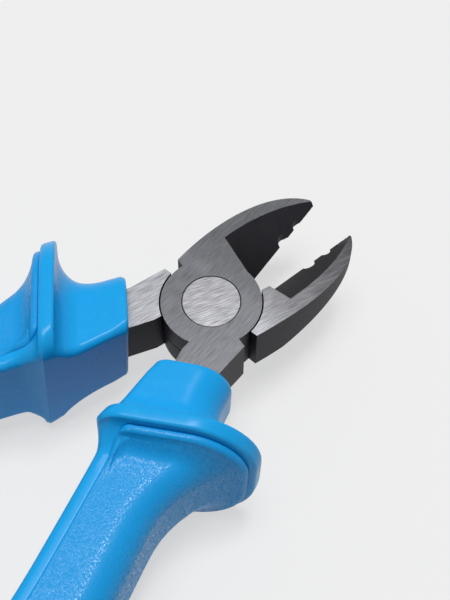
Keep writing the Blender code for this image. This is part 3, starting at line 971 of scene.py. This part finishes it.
def polished_polypropylene():
    """Polypropylene from a polished mould: an even satin gloss with the faintest flow ripple."""
    material, tree, shader = new_material("polished_polypropylene")
    place_at = add(tree, "ShaderNodeTexCoord").outputs["Object"]
    ripple = add(
        tree, "ShaderNodeTexNoise", {"Vector": place_at, "Scale": 1 / PEEL, "Detail": PEEL_DETAIL}
    )
    tone = add(
        tree,
        "ShaderNodeMix",
        {"Factor": ripple.outputs["Fac"], "A": linear(SMOOTH_BLUE_DEEP), "B": linear(SMOOTH_BLUE)},
        data_type="RGBA",
    )
    dull = add(
        tree,
        "ShaderNodeMapRange",
        {"Value": ripple.outputs["Fac"], "To Min": SMOOTH_ROUGHNESS[0], "To Max": SMOOTH_ROUGHNESS[1]},
    )
    bump = add(
        tree,
        "ShaderNodeBump",
        {"Height": ripple.outputs["Fac"], "Distance": PEEL_HEIGHT, "Strength": 1.0},
    )
    tree.links.new(tone.outputs["Result"], shader.inputs["Base Color"])
    tree.links.new(dull.outputs["Result"], shader.inputs["Roughness"])
    tree.links.new(bump.outputs["Normal"], shader.inputs["Normal"])
    shader.inputs["IOR"].default_value = PLASTIC_IOR
    shader.inputs["Specular IOR Level"].default_value = SMOOTH_GLOSS
    return material


smooth_plastic = polished_polypropylene()

front_core = grip_core()
settle(front_core, "front_grip_core_moulding", HALF_OPENING)
front_core.data.materials.clear()
front_core.data.materials.append(smooth_plastic)
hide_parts("front_grip_core")
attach(front_core, "front_half")

rear_core = grip_core()
mirror_across(rear_core)
settle(rear_core, "rear_grip_core_moulding", -HALF_OPENING)
rear_core.data.materials.clear()
rear_core.data.materials.append(smooth_plastic)
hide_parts("rear_grip_core")
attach(rear_core, "rear_half")


# The two grip covers
# A softer blue plastic moulded round the back of each core, from the lip behind the guard to the cap.
# Its mould is spark eroded, which leaves a fine pebble that sparkles where it catches the light.

LIP_EASE = 0.35 * MM
NOSE_EASE = 0.45 * MM
RIM_ACROSS = 1.0 * MM
RIM_TURN = 1.6 * MM
RIM_FLARE = 6.4 * MM
RIM_PROUD = 0.7 * MM
RIM_STEPS = 8


def rim_rise(station, across):
    """How far the rim along the cover's edge stands up, where the lip turns off along the spine."""
    share = clamped((across - RIM_ACROSS) / RIM_TURN)
    delay = RIM_TURN * (1 - math.sqrt(1 - (1 - share) ** 2))
    target = min(flared_height(station.t - delay, RIM_FLARE), station.crest + RIM_PROUD)
    return max(0.0, target - station.shape.half_height)


def cover_ring(station, inset):
    """A channel of constant wall, open towards the spine, with an eased rim along its edge."""
    shape = station.shape
    width = shape.outer_edge - shape.inner_edge - inset
    height = shape.half_height - inset
    outer = shape.outer - inset
    lip = station.spine + COVER_GAP + inset
    wall = station.wall - inset
    edge = height + rim_rise(station, 0.0)
    ease = LIP_EASE + max(0.0, edge + inset - station.crest)
    start = max(RIM_ACROSS, ease)
    rim = []
    for i in range(RIM_STEPS + 1):
        across = between(RIM_ACROSS + RIM_TURN, start, i / RIM_STEPS)
        rim.append((lip + across, height + rim_rise(station, across)))
    outside = [
        *corner(width - outer, height - outer, outer, 0, 90),
        *rim,
        *corner(lip + ease, edge - ease, ease, 90, 180, EASE_STEPS),
    ]
    within = [(lip, height - wall), *corner(width - outer, height - outer, outer - wall, 90, 0)]
    lower_outside = [(a, -z) for a, z in reversed(outside)]
    lower_within = [(a, -z) for a, z in reversed(within)]
    return place([*lower_outside, *outside, *within, *lower_within], station.t, shape)


def grip_cover():
    """The cover, from a gap behind the guard to a gap before the end cap."""
    rings = []
    body = [station for station in body_stations() if station.t > LIP_AT]
    start = body[0].t
    for i in range(EASE_STEPS):
        angle = QUARTER_TURN * i / EASE_STEPS
        station = body_station(start + NOSE_EASE * (1 - math.cos(angle)))
        rings.append(cover_ring(station, NOSE_EASE * (1 - math.sin(angle))))
    rings += [cover_ring(station, 0.0) for station in body if start + NOSE_EASE <= station.t < BODY_END]
    end = BODY_END - COVER_GAP
    for i in range(EASE_STEPS + 1):
        angle = QUARTER_TURN * i / EASE_STEPS
        station = body_station(end - LIP_EASE * (1 - math.sin(angle)))
        rings.append(cover_ring(station, LIP_EASE * (1 - math.cos(angle))))
    return loft("cover", rings)


TEXTURED_BLUE = "#0897DA"
TEXTURED_BLUE_DEEP = "#0089CD"
PEBBLE = 0.4 * MM
PEBBLE_DETAIL = 2.5
PEBBLE_BREAKUP = 0.6
PEBBLE_HEIGHT = 0.05 * MM
PEBBLE_ROUGHNESS = (0.65, 0.14)
PEBBLE_GLOSS = 0.3
CROWN_RANGE = (0.42, 0.62)


def spark_eroded_plastic():
    """Soft plastic from a spark eroded mould: matt overall, a fine pebble with bright crowns.

    The pebble is drawn a little coarser than the mould leaves it, so that it shows.
    """
    material, tree, shader = new_material("spark_eroded_plastic")
    place_at = add(tree, "ShaderNodeTexCoord").outputs["Object"]
    pebble = add(
        tree,
        "ShaderNodeTexNoise",
        {
            "Vector": place_at,
            "Scale": 1 / PEBBLE,
            "Detail": PEBBLE_DETAIL,
            "Roughness": PEBBLE_BREAKUP,
        },
    )
    tone = add(
        tree,
        "ShaderNodeMix",
        {"Factor": pebble.outputs["Fac"], "A": linear(TEXTURED_BLUE_DEEP), "B": linear(TEXTURED_BLUE)},
        data_type="RGBA",
    )
    dull = add(
        tree,
        "ShaderNodeMapRange",
        {
            "Value": pebble.outputs["Fac"],
            "From Min": CROWN_RANGE[0],
            "From Max": CROWN_RANGE[1],
            "To Min": PEBBLE_ROUGHNESS[0],
            "To Max": PEBBLE_ROUGHNESS[1],
        },
    )
    bump = add(
        tree,
        "ShaderNodeBump",
        {"Height": pebble.outputs["Fac"], "Distance": PEBBLE_HEIGHT, "Strength": 1.0},
    )
    tree.links.new(tone.outputs["Result"], shader.inputs["Base Color"])
    tree.links.new(dull.outputs["Result"], shader.inputs["Roughness"])
    tree.links.new(bump.outputs["Normal"], shader.inputs["Normal"])
    shader.inputs["IOR"].default_value = PLASTIC_IOR
    shader.inputs["Specular IOR Level"].default_value = PEBBLE_GLOSS
    return material


textured_plastic = spark_eroded_plastic()

front_cover = grip_cover()
settle(front_cover, "front_grip_cover_moulding", HALF_OPENING)
front_cover.data.materials.append(textured_plastic)
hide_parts("front_grip_cover")
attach(front_cover, "front_half")

rear_cover = grip_cover()
mirror_across(rear_cover)
settle(rear_cover, "rear_grip_cover_moulding", -HALF_OPENING)
rear_cover.data.materials.append(textured_plastic)
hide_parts("rear_grip_cover")
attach(rear_cover, "rear_half")


# Floor, light and camera
# A pale matt sweep of paper under the tool, a large soft lamp overhead with a small one beyond it,
# and a dome that lights from the left and shows pale all round to what is looked at in it.

FLOOR_COLOUR = "#C8C8C8"
FLOOR_SIZE = 8.0
FLOOR_GAP = 0.1 * MM
FLOOR_GLOW = 0.6
FLOOR_ROUGHNESS = 0.9
FLOOR_GLOSS = 0.1
WHITE = "#FFFFFF"

floor_mesh = bmesh.new()
bmesh.ops.create_grid(floor_mesh, x_segments=1, y_segments=1, size=FLOOR_SIZE / 2)
floor = link_mesh("paper_floor", floor_mesh)
floor.location.z = cad_box[0].z - FLOOR_GAP
paper, paper_tree, paper_shader = new_material("pale_paper")
paper_shader.inputs["Base Color"].default_value = linear(FLOOR_COLOUR)
paper_shader.inputs["Roughness"].default_value = FLOOR_ROUGHNESS
paper_shader.inputs["Specular IOR Level"].default_value = FLOOR_GLOSS


def seen(tree):
    """1 where a surface is looked at, straight or mirrored, and 0 where it only gives light."""
    rays = add(tree, "ShaderNodeLightPath").outputs
    mirrored_or_straight = add(
        tree, "ShaderNodeMath", {0: rays["Is Camera Ray"], 1: rays["Is Glossy Ray"]}, operation="ADD"
    )
    every_way = add(
        tree,
        "ShaderNodeMath",
        {0: mirrored_or_straight.outputs["Value"], 1: rays["Is Transmission Ray"]},
        operation="ADD",
        use_clamp=True,
    )
    return every_way.outputs["Value"]


share = add(paper_tree, "ShaderNodeMath", {0: seen(paper_tree), 1: FLOOR_GLOW}, operation="MULTIPLY")
glow = add(paper_tree, "ShaderNodeEmission", {"Color": linear(WHITE), "Strength": 1.0})
lit = add(
    paper_tree,
    "ShaderNodeMixShader",
    {0: share.outputs["Value"], 1: paper_shader.outputs["BSDF"], 2: glow.outputs["Emission"]},
)
paper_tree.links.new(lit.outputs["Shader"], paper_tree.nodes["Material Output"].inputs["Surface"])
floor.data.materials.append(paper)

DOME_WAY = Vector((-0.55, 0.12, 0.83))
DOME_BRIGHT = 0.46
DOME_DIM = 0.12
DOME_PALE = 0.9
DOME_FAR = 0.15

world = bpy.data.worlds.new("studio_dome")
bpy.context.scene.world = world
world.use_nodes = True
sky = world.node_tree
sky.nodes.clear()
dim = add(sky, "ShaderNodeMapRange", {"Value": seen(sky), "To Min": DOME_DIM, "To Max": DOME_PALE})
look = add(sky, "ShaderNodeTexCoord").outputs["Generated"]
nearness = add(
    sky, "ShaderNodeVectorMath", {0: look, 1: DOME_WAY.normalized()}, operation="DOT_PRODUCT"
)
level = add(
    sky,
    "ShaderNodeMapRange",
    {
        "Value": nearness.outputs["Value"],
        "From Min": DOME_FAR,
        "From Max": 1.0,
        "To Min": dim.outputs["Result"],
        "To Max": DOME_BRIGHT,
    },
    interpolation_type="SMOOTHSTEP",
)
dome = add(
    sky, "ShaderNodeBackground", {"Color": linear(WHITE), "Strength": level.outputs["Result"]}
)
add(sky, "ShaderNodeOutputWorld", {"Surface": dome.outputs["Background"]})

LAMP_DISTANCE = 1.6
SOFTBOX_WAY = Vector((-0.03, -0.02, 1.0))
SOFTBOX_SIZE = 0.85
SOFTBOX_POWER = 15.0
SMALL_LAMP_WAY = Vector((-0.053, 0.24, 0.97))
SMALL_LAMP_SIZE = 0.32
SMALL_LAMP_POWER = 7.5


def round_lamp(name, way, size, power):
    """A round lamp that shines on the tool from one way."""
    data = bpy.data.lights.new(name, "AREA")
    data.shape = "DISK"
    data.size = size
    data.energy = power
    lamp = bpy.data.objects.new(name, data)
    lamp.location = way.normalized() * LAMP_DISTANCE
    lamp.rotation_mode = "QUATERNION"
    lamp.rotation_quaternion = (-way).to_track_quat("-Z", "Y")
    bpy.context.scene.collection.objects.link(lamp)


round_lamp("softbox", SOFTBOX_WAY, SOFTBOX_SIZE, SOFTBOX_POWER)
round_lamp("small_lamp", SMALL_LAMP_WAY, SMALL_LAMP_SIZE, SMALL_LAMP_POWER)

CAMERA_PLACE = Vector((86.587, -75.402, 202.748)) * MM
CAMERA_TARGET = Vector((-0.878, 4.247, 5.4)) * MM
CAMERA_ROLL = math.radians(0.55)
CAMERA_LENS = 72.0
CAMERA_NEAR = 10.0 * MM

camera_data = bpy.data.cameras.new("camera")
camera_data.lens = CAMERA_LENS
camera_data.clip_start = CAMERA_NEAR
camera = bpy.data.objects.new("camera", camera_data)
camera.location = CAMERA_PLACE
aim = (CAMERA_TARGET - CAMERA_PLACE).to_track_quat("-Z", "Y")
camera.rotation_mode = "QUATERNION"
camera.rotation_quaternion = aim @ Matrix.Rotation(CAMERA_ROLL, 4, "Z").to_quaternion()
bpy.context.scene.collection.objects.link(camera)
bpy.context.scene.camera = camera
bpy.context.scene.view_settings.view_transform = "Standard"
